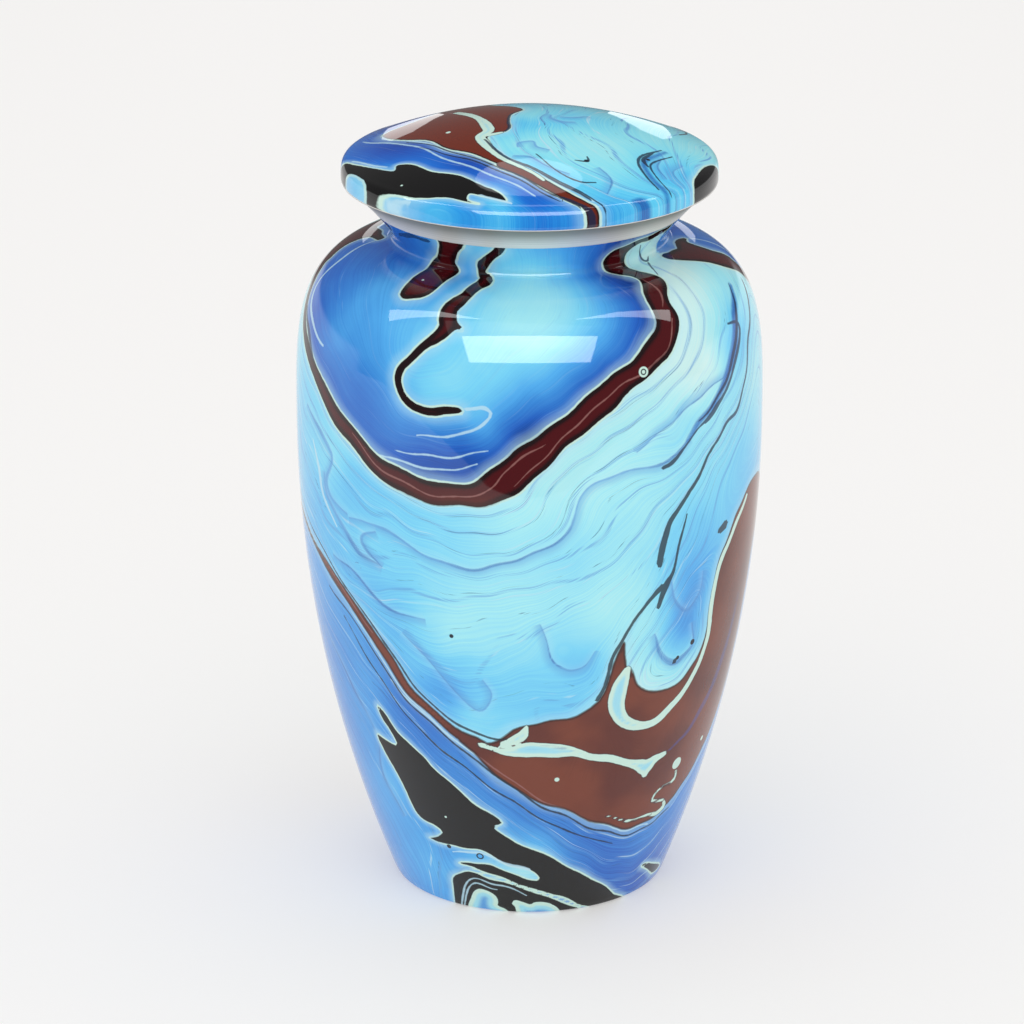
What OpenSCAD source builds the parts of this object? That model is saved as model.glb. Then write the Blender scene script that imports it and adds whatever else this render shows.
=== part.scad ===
// Funeral urn: a turned, round-shouldered vessel with a flared neck, closed by a lift-off lid.
// Both pieces are bodies of revolution about Z and stand on z = 0. Millimetres.

/* [Vessel] */
// Diameter at the belly, the widest part
belly_d = 155; // [125:1:190]
// Height of the belly above the surface the urn stands on
belly_z = 163; // [130:1:200]
// Diameter of the foot
foot_d = 92; // [72:1:114]
// How fast the flank draws in below the belly: 2 is a parabola
flank_power = 2.05; // [1.6:0.05:2.6]
// Rise from the belly to the crease under the neck
shoulder_rise = 59.8; // [46:0.2:76]
// How late the shoulder turns over as it rises
shoulder_power = 3.5; // [2.6:0.1:4.6]
// How squarely the shoulder turns in towards the neck
shoulder_turn = 5.7; // [4:0.1:7]
// Thickness of the wall
wall_t = 2.6; // [2:0.1:4]
// Thickness of the floor
floor_t = 3.2; // [2.4:0.1:5]

/* [Foot] */
// Rounding of the foot's lower edge
foot_round = 1.2; // [0.6:0.1:2.5]
// Width of the ring that the urn stands on
foot_ring_w = 9; // [6:0.5:14]
// Depth of the shallow recess inside that ring
foot_recess = 1.4; // [0.6:0.1:2.5]
// Rounding inside, where the floor meets the wall
floor_round = 5; // [2:0.5:8]

/* [Neck] */
// Diameter of the crease where the neck leaves the shoulder
neck_d = 88.4; // [70:0.2:108]
// Height of the flare from the crease to the lip
flare_h = 20.1; // [16:0.1:26]
// How the flare opens: 1 is straight, more curves out towards the lip
flare_power = 1.35; // [1:0.05:1.8]
// Diameter of the lip
lip_d = 120.2; // [100:0.2:146]
// Width of the flat top of the lip
lip_w = 4.6; // [3.5:0.1:6]
// Softening of the crease, measured outwards from it
crease_round = 3.4; // [1.6:0.1:5]
// Thickness of the neck at the throat
throat_t = 3.7; // [2.8:0.1:5]
// How far the throat's ring hangs below the crease
throat_drop = 7; // [6:0.5:10]
// Thickness of that ring
throat_ring_t = 3; // [2:0.1:4]

/* [Lid] */
// How far the lid's rim stands out past the lip
rim_overhang = 1.8; // [0.8:0.1:3]
// Height of the rim
rim_h = 6.4; // [5:0.1:9]
// Width of the rim's flat underside
rim_w = 4.2; // [3.2:0.1:6]
// Rounding of the rim's upper edge
rim_round = 3.1; // [1.5:0.1:3.8]
// Rounding of the rim's lower edge
rim_lower_round = 1.2; // [0.4:0.1:1.6]
// Rise of the dome above the rim
dome_h = 14.2; // [9:0.1:22]
// How flat the dome's crown is: 2 is a parabola, more is flatter
dome_power = 1.9; // [1.6:0.1:3]
// Thickness of the dome
lid_t = 2.6; // [2:0.1:3.4]
// How far the plug reaches down below the lid's seat
plug_drop = 25; // [23:0.5:27]
// Thickness of the plug
plug_t = 2.6; // [2:0.1:4]
// Gap all round between the plug and the throat
plug_clearance = 0.3; // [0.15:0.05:0.6]

/* [Hidden] */
$fn = 128;

flank_steps = 30;
flare_steps = 10;
shoulder_steps = 30;
dome_steps = 20;
soft_steps = 5;

belly_r = belly_d / 2;
foot_r = foot_d / 2;
neck_r = neck_d / 2;
lip_r = lip_d / 2;
neck_z = belly_z + shoulder_rise;
lip_z = neck_z + flare_h;
throat_r = neck_r - throat_t;
throat_z = neck_z - throat_drop;
throat_ring_r = throat_r + throat_ring_t;
floor_z = foot_recess + floor_t;
shoulder_span = shoulder_rise / pow(1 - pow(neck_r / belly_r, shoulder_turn), 1 / shoulder_power);

lid_r = lip_r + rim_overhang;
rim_z = lip_z + rim_h;
rim_inner_r = lid_r - rim_w;
plug_r = throat_r - plug_clearance;
plug_z = lip_z - plug_drop;

// The flank's radius at height z
function flank_r(z) = belly_r - (belly_r - foot_r) * pow(1 - z / belly_z, flank_power);

// The shoulder: its point at a turn of a degrees, the turn at radius r, and the height at radius r
function shoulder_at(a) = [belly_r * pow(cos(a), 2 / shoulder_turn),
                           belly_z + shoulder_span * pow(sin(a), 2 / shoulder_power)];
function shoulder_turn_at(r) = acos(pow(r / belly_r, shoulder_turn / 2));
function shoulder_z(r) = shoulder_at(shoulder_turn_at(r)).y;

// The dome's height at radius r, over the rim's edge
function dome_z(r) = rim_z + dome_h * (1 - pow(r / lid_r, dome_power));

// A soft corner from a to b about the sharp corner c
function soften(a, c, b) =
    [for (i = [0:soft_steps]) let (t = i / soft_steps)
        pow(1 - t, 2) * a + 2 * t * (1 - t) * c + t * t * b];

// The line a to b moved to its left by t, as seen looking along it
function beside(a, b, t) = t * [a.y - b.y, b.x - a.x] / norm(b - a);

// A run of points moved inwards by t, without its two ends
function inside(run, t) =
    [for (i = [1:len(run) - 2]) run[i] + beside(run[i - 1], run[i + 1], t)];

function reversed(run) = [for (i = [len(run) - 1:-1:0]) run[i]];

// The flare between a radius at the neck and one at the lip: its radius at height z, and its points from height z up
function flare_r(z, low_r = neck_r, high_r = lip_r) =
    low_r + (high_r - low_r) * pow((z - neck_z) / flare_h, flare_power);
function flare_from(z, low_r, high_r) =
    [for (i = [1:flare_steps - 1]) let (h = z + (lip_z - z) * i / flare_steps) [flare_r(h, low_r, high_r), h]];

crease_turn = shoulder_turn_at(neck_r + crease_round);
crease_a = shoulder_at(crease_turn);
crease_b = [flare_r(neck_z + crease_round), neck_z + crease_round];

flank = [for (i = [0:flank_steps]) let (z = foot_round + (belly_z - foot_round) * i / flank_steps)
    [flank_r(z), z]];
shoulder = [for (i = [1:shoulder_steps - 1]) shoulder_at(crease_turn * i / shoulder_steps)];
skin = concat(flank, shoulder);

module urn_body() {
    inner = inside(skin, wall_t);
    inner_wall = [for (p = inner)
        if (p.y > floor_z + floor_round && (p.y < belly_z || p.x > throat_ring_r)) p];
    low = inner_wall[0];
    lean = (inner_wall[1].x - low.x) / (inner_wall[1].y - low.y);
    corner_r = low.x - lean * (low.y - floor_z);
    outline = concat(
        [[0, foot_recess], [foot_r - foot_ring_w - foot_recess, foot_recess], [foot_r - foot_ring_w, 0]],
        soften([foot_r - foot_round, 0], [foot_r, 0], flank[0]),
        [for (i = [1:len(skin) - 1]) skin[i]],
        soften(crease_a, [neck_r, neck_z], crease_b),
        flare_from(crease_b.y, neck_r, lip_r),
        [[lip_r, lip_z], [lip_r - lip_w, lip_z]],
        reversed(flare_from(neck_z, throat_r, lip_r - lip_w)),
        [[throat_r, neck_z], [throat_r, throat_z],
         [throat_ring_r, throat_z], [throat_ring_r, shoulder_z(throat_ring_r) - wall_t]],
        reversed(inner_wall),
        soften(low, [corner_r, floor_z], [corner_r - floor_round, floor_z]),
        [[0, floor_z]]);
    color([0.24, 0.60, 0.86]) rotate_extrude() polygon(outline);
}

module urn_lid() {
    edge_r = lid_r - rim_round;
    crown = [for (i = [0:dome_steps]) let (r = edge_r * (1 - i / dome_steps)) [r, dome_z(r)]];
    ceiling = [for (p = inside(crown, lid_t)) if (p.x < plug_r - plug_t - 1) p];
    gutter = [for (p = inside(crown, lid_t)) if (p.x > plug_r + 1 && p.x < rim_inner_r - 0.5) p];
    outline = concat(
        [[rim_inner_r, lip_z]],
        soften([lid_r - rim_lower_round, lip_z], [lid_r, lip_z], [lid_r, lip_z + rim_lower_round]),
        soften([lid_r, rim_z - rim_round], [lid_r, dome_z(lid_r - rim_round / 2)], crown[0]),
        [for (i = [1:dome_steps]) crown[i]],
        [[0, dome_z(0) - lid_t]],
        reversed(ceiling),
        [[plug_r - plug_t, ceiling[0].y], [plug_r - plug_t, plug_z], [plug_r, plug_z],
         [plug_r, gutter[len(gutter) - 1].y]],
        reversed(gutter),
        [[rim_inner_r, gutter[0].y]]);
    color([0.47, 0.82, 0.92]) rotate_extrude() polygon(outline);
}

urn_body();
urn_lid();
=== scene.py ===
import math
import bpy
import numpy as np
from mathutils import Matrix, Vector


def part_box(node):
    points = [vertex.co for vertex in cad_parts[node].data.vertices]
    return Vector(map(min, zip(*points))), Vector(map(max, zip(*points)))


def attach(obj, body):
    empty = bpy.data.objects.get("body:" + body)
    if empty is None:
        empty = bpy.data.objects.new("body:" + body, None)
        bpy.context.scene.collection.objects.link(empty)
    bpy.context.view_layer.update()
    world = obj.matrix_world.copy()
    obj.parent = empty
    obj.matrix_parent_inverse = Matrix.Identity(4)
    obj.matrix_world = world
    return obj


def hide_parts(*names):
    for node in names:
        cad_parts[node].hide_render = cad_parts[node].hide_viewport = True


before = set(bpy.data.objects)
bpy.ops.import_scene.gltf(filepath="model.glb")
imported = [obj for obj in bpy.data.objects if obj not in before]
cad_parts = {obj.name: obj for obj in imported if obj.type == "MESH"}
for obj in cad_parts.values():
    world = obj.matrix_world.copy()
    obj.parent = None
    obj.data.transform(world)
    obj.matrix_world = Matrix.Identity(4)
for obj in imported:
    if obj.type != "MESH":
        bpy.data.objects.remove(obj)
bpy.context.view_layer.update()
mm = 0.001
scene = bpy.context.scene
print("frame loaded")

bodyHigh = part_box("urn_body")[1]
lidLow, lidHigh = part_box("urn_lid")

# Millimetres. The main sizes come from the frame, the rest is how the outline runs between them.
vesselShape = {
    "bellyRadius": bodyHigh.x / mm,
    "bellyHeight": 163.0,
    "footRadius": 46.0,
    "flankPower": 2.05,
    "shoulderRise": 59.8,
    "shoulderPower": 3.5,
    "shoulderTurn": 5.7,
    "neckRadius": 44.2,
    "lipRadius": 60.1,
    "lipHeight": bodyHigh.z / mm,
    "lipWidth": 4.6,
    "flarePower": 1.35,
    "creaseRound": 3.4,
    "creaseRun": (238, 250),    # where the hollow of the crease lies, measured up along the wall
    "footRound": 1.2,
    "footRing": 9.0,
    "footRecess": 1.4,
    "wall": 2.6,
    "floor": 3.2,
    "floorRound": 5.0,
    "throatRadius": 40.5,
    "throatDrop": 7.0,
    "throatRing": 3.0,
    "paintTop": 234.3,          # the paint stops here on the flare, bare metal above
    "paintThickness": 0.25,
    "paintSetback": 0.14,       # how far the metal stands back under the paint
    "columns": 400,
    "paintRings": 204,
    "metalColumns": 192,
}
neckHeight = vesselShape["bellyHeight"] + vesselShape["shoulderRise"]
lidShape = {
    "radius": lidHigh.x / mm,
    "seat": bodyHigh.z / mm,
    "crown": lidHigh.z / mm,
    "plugBottom": lidLow.z / mm,
    "rimHeight": 6.4,
    "rimRound": 3.1,
    "rimLowerRound": 1.2,
    "rimWidth": 4.2,
    "domePower": 1.9,
    "thickness": 2.6,
    "plugRadius": 40.2,
    "plugWall": 2.6,
    "paintThickness": 0.25,
    "paintSetback": 0.12,
    "columns": 432,
    "paintRings": 96,
    "metalColumns": 160,
}


# curves

def smoothLine(points, closed=False, steps=4):
    # passes through the points; further columns, such as a width, are carried along
    pts = np.array(points, float)
    if closed:
        pts = np.vstack([pts[-1], pts, pts[0], pts[1]])
    else:
        pts = np.vstack([2 * pts[0] - pts[1], pts, 2 * pts[-1] - pts[-2]])
    run = []
    for p0, p1, p2, p3 in zip(pts[:-3], pts[1:-2], pts[2:-1], pts[3:]):
        k0 = 0.0
        k1 = k0 + np.linalg.norm((p1 - p0)[:2]) ** 0.5 + 1e-6
        k2 = k1 + np.linalg.norm((p2 - p1)[:2]) ** 0.5 + 1e-6
        k3 = k2 + np.linalg.norm((p3 - p2)[:2]) ** 0.5 + 1e-6
        t = np.linspace(k1, k2, steps, endpoint=False)[:, None]
        a1 = (k1 - t) / (k1 - k0) * p0 + (t - k0) / (k1 - k0) * p1
        a2 = (k2 - t) / (k2 - k1) * p1 + (t - k1) / (k2 - k1) * p2
        a3 = (k3 - t) / (k3 - k2) * p2 + (t - k2) / (k3 - k2) * p3
        b1 = (k2 - t) / (k2 - k0) * a1 + (t - k0) / (k2 - k0) * a2
        b2 = (k3 - t) / (k3 - k1) * a2 + (t - k1) / (k3 - k1) * a3
        run.append((k2 - t) / (k2 - k1) * b1 + (t - k1) / (k2 - k1) * b2)
    run.append(pts[1:2] if closed else pts[-2:-1])
    return np.vstack(run)


def lengthAlong(points):
    return np.r_[0, np.cumsum(np.linalg.norm(np.diff(points, axis=0), axis=1))]


def pointsAt(at, length, points):
    return np.column_stack([np.interp(at, length, points[:, 0]), np.interp(at, length, points[:, 1])])


def evenRun(points, count):
    # the same line with its points equally far apart
    length = lengthAlong(points)
    return pointsAt(np.linspace(0, length[-1], count), length, points)


def besideRun(points, gap):
    # the same line moved to its left
    way = np.gradient(points, axis=0)
    way /= np.linalg.norm(way, axis=1)[:, None]
    return points + gap * np.column_stack([-way[:, 1], way[:, 0]])


def softCorner(start, corner, end, steps=6):
    t = np.linspace(0, 1, steps)[:, None]
    return (1 - t) ** 2 * np.array(start) + 2 * t * (1 - t) * np.array(corner) + t ** 2 * np.array(end)


# meshes

def addMesh(name, points, faces):
    mesh = bpy.data.meshes.new(name)
    mesh.from_pydata(points, [], faces)
    piece = bpy.data.objects.new(name, mesh)
    scene.collection.objects.link(piece)
    return piece


def latheMesh(name, outline, columns, layout, along=None, closed=False):
    # turned about the axis: theta 0 is the front, and the seam is at the back
    if along is None:
        along = lengthAlong(outline) / lengthAlong(outline)[-1]
    rings = []
    points = []
    for r, z in outline:
        if r < 1e-6:
            rings.append([len(points)] * columns)
            points.append((0.0, 0.0, z * mm))
            continue
        rings.append(list(range(len(points), len(points) + columns)))
        for j in range(columns):
            turn = math.pi * (2 * j / columns - 1)
            points.append((r * math.sin(turn) * mm, -r * math.cos(turn) * mm, z * mm))
    faces = []
    spots = []
    for i in range(len(rings) if closed else len(rings) - 1):
        low = rings[i]
        high = rings[(i + 1) % len(rings)]
        v0 = along[i]
        v1 = along[i + 1] if i + 1 < len(along) else 1.0
        for j in range(columns):
            k = (j + 1) % columns
            face = [low[j], low[k], high[k], high[j]]
            spot = [(j, v0), (j + 1, v0), (j + 1, v1), (j, v1)]
            if low[j] == low[k]:
                face = [low[j], high[k], high[j]]
                spot = [(j + 0.5, v0), spot[2], spot[3]]
            elif high[j] == high[k]:
                face = [low[j], low[k], high[j]]
                spot = [spot[0], spot[1], (j + 0.5, v1)]
            faces.append(face)
            spots.extend(spot)
    piece = addMesh(name, points, faces)
    spots = np.array(spots, float)
    if layout == "strip":
        flat = np.column_stack([spots[:, 0] / columns, spots[:, 1]])
    else:
        turn = 2 * np.pi * spots[:, 0] / columns
        flat = 0.5 + 0.495 * spots[:, 1:] * np.column_stack([np.sin(turn), np.cos(turn)])
    uv = piece.data.uv_layers.new(name="OFBake")
    uv.data.foreach_set("uv", flat.astype(np.float32).ravel())
    piece.data.polygons.foreach_set("use_smooth", [True] * len(faces))
    piece.data.set_sharp_from_angle(angle=math.radians(34))
    return piece


# The poured film. A film is a set of points with two coordinates: degrees round and millimetres up
# the wall on the vessel, millimetres across and back on the lid. Its scale is the millimetres in one
# step of the first, its shifts are where the pattern repeats, and around is the radius it wraps at.

def toSegments(a, b, k, line):
    # to the nearest segment of the line: the distance, the side, the line's width, how far past an end
    nearest = np.full(a.shape, 1e9)
    side = np.zeros(a.shape)
    width = np.zeros(a.shape)
    past = np.zeros(a.shape)
    last = len(line) - 2
    for i in range(last + 1):
        ax = (line[i, 0] - a) * k
        ay = line[i, 1] - b
        dx = (line[i + 1, 0] - line[i, 0]) * k
        dy = line[i + 1, 1] - line[i, 1]
        long = dx * dx + dy * dy + 1e-9
        t = -(ax * dx + ay * dy) / long
        tc = np.clip(t, 0, 1)
        gap = np.hypot(ax + tc * dx, ay + tc * dy)
        hit = gap < nearest
        nearest = np.where(hit, gap, nearest)
        side = np.where(hit, np.where(dx * ay - dy * ax < 0, -1, 1), side)
        if line.shape[1] > 2:
            width = np.where(hit, line[i, 2] * (1 - tc) + line[i + 1, 2] * tc, width)
        over = -t if i == 0 else t - 1 if i == last else 0
        past = np.where(hit, np.maximum(over * np.sqrt(long), 0), past)
    return nearest, side, width, past


def eachRepeat(film, line, reach):
    # the film's points near the line, once for each place where the pattern repeats
    wide = reach / np.maximum(film["scale"], 0.05)
    low = line.min(axis=0)
    high = line.max(axis=0)
    for shift in film["shifts"]:
        near = (film["a"] > low[0] + shift - wide) & (film["a"] < high[0] + shift + wide)
        near &= (film["b"] > low[1] - reach) & (film["b"] < high[1] + reach)
        at = np.nonzero(near)
        if len(at[0]):
            a = film["a"][at] - shift
            b = film["b"][at]
            yield at, a, b, toSegments(a, b, film["scale"][at], line)


def insideLine(a, b, line):
    within = np.zeros(a.shape, bool)
    for (a0, b0), (a1, b1) in zip(line[:-1], line[1:]):
        if b0 == b1:
            continue
        cross = (b0 > b) != (b1 > b)
        within ^= cross & (a < (a1 - a0) * (b - b0) / (b1 - b0) + a0)
    return within


def poolEdge(film, pools, ribbons, reach=9.0):
    # millimetres to the nearest edge of a pool (a closed outline) or a ribbon (a line with widths),
    # negative inside
    edge = np.full(film["a"].shape, reach)
    for pool in pools:
        line = smoothLine(pool, closed=True)
        for at, a, b, (gap, side, width, past) in eachRepeat(film, line, reach):
            edge[at] = np.minimum(edge[at], np.where(insideLine(a, b, line), -gap, gap))
    for ribbon in ribbons:
        for at, a, b, (gap, side, width, past) in eachRepeat(film, smoothLine(ribbon), reach):
            edge[at] = np.minimum(edge[at], gap - width / 2)
    return edge


def threadPull(film, threads, reach):
    # for thin lines: the signed offset from the nearest one, and that one's half width there
    offset = np.full(film["a"].shape, reach)
    half = np.full(film["a"].shape, -3.0)
    clear = np.full(film["a"].shape, reach)
    for thread in threads:
        for at, a, b, (gap, side, width, past) in eachRepeat(film, smoothLine(thread), reach):
            mine = width / 2 - past * 1.5
            closer = (gap - mine < clear[at]) & (gap < reach - 0.3)
            clear[at] = np.where(closer, gap - mine, clear[at])
            offset[at] = np.where(closer, gap * side, offset[at])
            half[at] = np.where(closer, mine, half[at])
    return np.stack([offset, half, np.zeros(half.shape)], axis=-1)


threadFamilies = 3
flowStep = 130      # between the flow numbers of one area and the next


def sortThreads(threads, around, apart):
    # threads that run close together go to different families, so that each keeps its own two sides
    families = [[] for _ in range(threadFamilies)]
    for thread in threads:
        line = smoothLine(thread)[:, :2] * (0.95 if around else 1.0, 1.0)
        room = []
        for family in families:
            gaps = [np.linalg.norm(line[:, None] - other[None], axis=2).min() for _, other in family]
            room.append(min(gaps, default=99))
        free = [k for k, gap in enumerate(room) if gap > apart]
        families[free[0] if free else int(np.argmax(room))].append((thread, line))
    return [[thread for thread, _ in family] for family in families]


def spreadOver(film, spots, softness):
    # a smooth surface through values given at a few spots
    spots = np.array(spots, float)
    around = film["around"]

    def place(a, b):
        if not around:
            return np.stack([a, b, 0 * a], axis=-1)
        turn = np.radians(2 * a)
        return np.stack([around * np.cos(turn), around * np.sin(turn), b], axis=-1)

    home = place(spots[:, 0], spots[:, 1])

    def pull(p):
        gap = np.sqrt(((p[:, None, :] - home[None, :, :]) ** 2).sum(-1) + softness ** 2)
        return np.hstack([gap, np.ones((len(p), 1))])

    count = len(spots)
    table = np.zeros((count + 1, count + 1))
    table[:count] = pull(home)
    table[:count, :count] -= np.eye(count) * 0.15
    table[count, :count] = 1
    weights = np.linalg.solve(table, np.r_[spots[:, 2], 0])
    p = place(film["a"].ravel(), film["b"].ravel())
    out = np.empty(len(p))
    for start in range(0, len(p), 20000):
        out[start:start + 20000] = pull(p[start:start + 20000]) @ weights
    return out.reshape(film["a"].shape)


def flowSpots(lines):
    return [(a, b, value) for value, points in lines for a, b in smoothLine(points, steps=2)]


def regionMask(film, outline):
    line = smoothLine(outline, closed=True)
    mask = np.zeros(film["a"].shape, bool)
    for shift in film["shifts"]:
        mask |= insideLine(film["a"] - shift, film["b"], line)
    return mask


def slopeOf(field, run, across):
    # how fast the field changes, per millimetre; run and across are the spacings in millimetres
    down = np.gradient(field, axis=0) / run
    over = (np.roll(field, -1, axis=1) - np.roll(field, 1, axis=1)) / (2 * across)
    return np.clip(np.hypot(down, over), 0.05, 8)


# what was poured on the vessel: degrees round, millimetres up the wall, and a width on ribbons and threads

bowlRim = [(-113, 241, 6), (-104, 235, 10), (-95, 224, 8), (-85, 212, 5), (-75, 200, 3.5), (-66, 193, 4.5),
           (-60, 187, 6), (-50, 178, 6), (-40, 170, 6.5), (-30, 165, 7.5), (-20, 164, 7.5), (-12, 165, 8.5),
           (-6, 170, 11), (0, 177, 11), (6, 184, 9), (14, 192, 9.5), (20, 198, 9), (26, 203, 7),
           (31, 207, 7.5), (35, 211, 8.5), (38, 215, 8.5), (39, 219, 8.5), (39.3, 224, 7.6),
           (40.5, 228, 7.8), (43, 232, 8.2), (43.5, 235.3, 7.7), (41.5, 239.5, 5.9), (39, 243, 7.2),
           (37, 247, 8), (37, 250, 8.2), (40, 253, 5), (46, 254.6, 2.6), (52, 255.4, 3), (58, 256.2, 3.4),
           (66, 257, 2)]
bandRibbon = [(-90, 143, 1.5), (-80, 137, 1.5), (-70, 131, 1.5), (-60, 124, 3), (-50, 115, 3.5),
              (-45, 109, 3.5), (-40, 101, 3.5), (-35, 92, 3), (-30, 86, 3), (-20, 77, 3.5), (-14, 73, 4)]

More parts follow.
